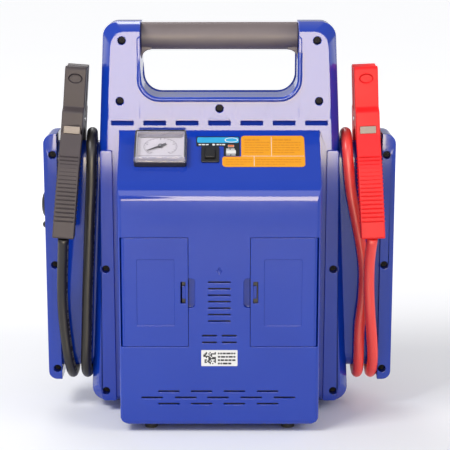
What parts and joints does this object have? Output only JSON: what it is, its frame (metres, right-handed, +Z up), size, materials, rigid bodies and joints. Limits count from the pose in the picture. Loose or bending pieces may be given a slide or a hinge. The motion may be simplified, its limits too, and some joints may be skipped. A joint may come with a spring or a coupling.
{
  "type": "jump starter pack",
  "caption": "Portable jump starter pack: clamshell case with carry handle, charge meter, battery doors, and red and black clamps on leads wound round side wings.",
  "frame": {"origin": "middle of the base on the ground, under the case", "axes": "+Z up; -Y out of the front with the meter and battery doors; +X to the right seen from the front"},
  "size_m": [0.372, 0.1963, 0.4195],
  "materials": {
    "blue_abs": "fine spark-eroded moulding, satin",
    "dark_nylon": "moulded",
    "grip_rubber": "soft moulded grip",
    "screw_steel": "zinc plated",
    "foot_rubber": "moulded",
    "meter_black": "moulded",
    "clear_styrene": "clear moulded",
    "dial_white": "printed card",
    "button_black": "moulded",
    "led_resin": "cast resin",
    "label_dark": "printed film",
    "label_yellow": "printed film",
    "label_white": "printed film",
    "battery_abs": "moulded",
    "lead_alloy": "cast",
    "copper": "pressed sheet",
    "fuse_red": "moulded",
    "circuit_board": "laminate",
    "winding": "varnished winding",
    "foam": "cut foam",
    "divider_abs": "moulded",
    "gland_nylon": "moulded",
    "black_pvc": "extruded jacket",
    "red_pvc": "extruded jacket",
    "black_clamp_plastic": "moulded",
    "red_clamp_plastic": "moulded",
    "spring_steel": "wound wire",
    "bright_steel": "pressed sheet"
  },
  "bodies": {
    "case": {"front_shell": "blue_abs", "rear_shell": "blue_abs", "handle_bar": "dark_nylon", "handle_grip": "grip_rubber", "housing_screws": "screw_steel", "rubber_feet": "foot_rubber", "door_pins": "screw_steel", "meter_case": "meter_black", "meter_cover": "clear_styrene", "meter_dial": "dial_white", "meter_movement": "screw_steel", "button_bezel": "meter_black", "indicator_leds": "led_resin", "control_label": "label_dark", "instruction_label": "label_yellow", "id_label": "label_white", "front_battery": "battery_abs", "rear_battery": "battery_abs", "battery_terminals": "lead_alloy", "series_link": "copper", "main_fuse": "fuse_red", "charger_board": "circuit_board", "transformer": "winding", "foam_pads": "foam", "battery_divider": "divider_abs", "charge_inlet": "meter_black", "power_socket": "meter_black", "black_gland": "gland_nylon", "red_gland": "gland_nylon", "black_lead": "black_pvc", "red_lead": "red_pvc", "black_front_lever": "black_clamp_plastic", "black_front_jaw": "copper", "black_pin": "screw_steel", "black_spring": "spring_steel", "black_strap": "bright_steel", "red_front_lever": "red_clamp_plastic", "red_front_jaw": "copper", "red_pin": "screw_steel", "red_spring": "spring_steel", "red_strap": "bright_steel"},
    "left_door": {"left_door": "blue_abs"},
    "right_door": {"right_door": "blue_abs"},
    "button": {"test_button": "button_black"},
    "needle": {"meter_needle": "meter_black"},
    "cap": {"socket_cap": "button_black"},
    "black_rear": {"black_rear_lever": "black_clamp_plastic", "black_rear_jaw": "copper"},
    "red_rear": {"red_rear_lever": "red_clamp_plastic", "red_rear_jaw": "copper"}
  },
  "joints": [
    {"name": "left_door_swing", "type": "hinge", "parent": "case", "child": "left_door", "pos_m": [-0.0975, -0.0948, 0.15], "axis": [0, 0, -1], "range_deg": [0, 95]},
    {"name": "right_door_swing", "type": "hinge", "parent": "case", "child": "right_door", "pos_m": [0.0975, -0.0948, 0.15], "axis": [0, 0, 1], "range_deg": [0, 95]},
    {"name": "button_press", "type": "slide", "parent": "case", "child": "button", "axis": [0, 0.5878, -0.809], "range_m": [0, 0.0025], "stiffness_N_per_m": 400, "springref_m": -0.001},
    {"name": "needle_swing", "type": "hinge", "parent": "case", "child": "needle", "pos_m": [-0.0605, -0.05919, 0.29544], "axis": [0, 0.5878, -0.809], "range_deg": [0, 232]},
    {"name": "cap_open", "type": "hinge", "parent": "case", "child": "cap", "pos_m": [-0.03, 0.04489, 0.30212], "axis": [1, 0, 0], "range_deg": [0, 110]},
    {"name": "black_clamp_open", "type": "hinge", "parent": "case", "child": "black_rear", "pos_m": [-0.1542, 0, 0.317], "axis": [-0.9972, 0, 0.075], "range_deg": [0, 9.5], "stiffness_Nm_per_rad": 6, "springref_deg": -20.05},
    {"name": "red_clamp_open", "type": "hinge", "parent": "case", "child": "red_rear", "pos_m": [0.1554, 0, 0.317], "axis": [-0.9991, 0, -0.0419], "range_deg": [0, 9.5], "stiffness_Nm_per_rad": 6, "springref_deg": -20.05}
  ]
}
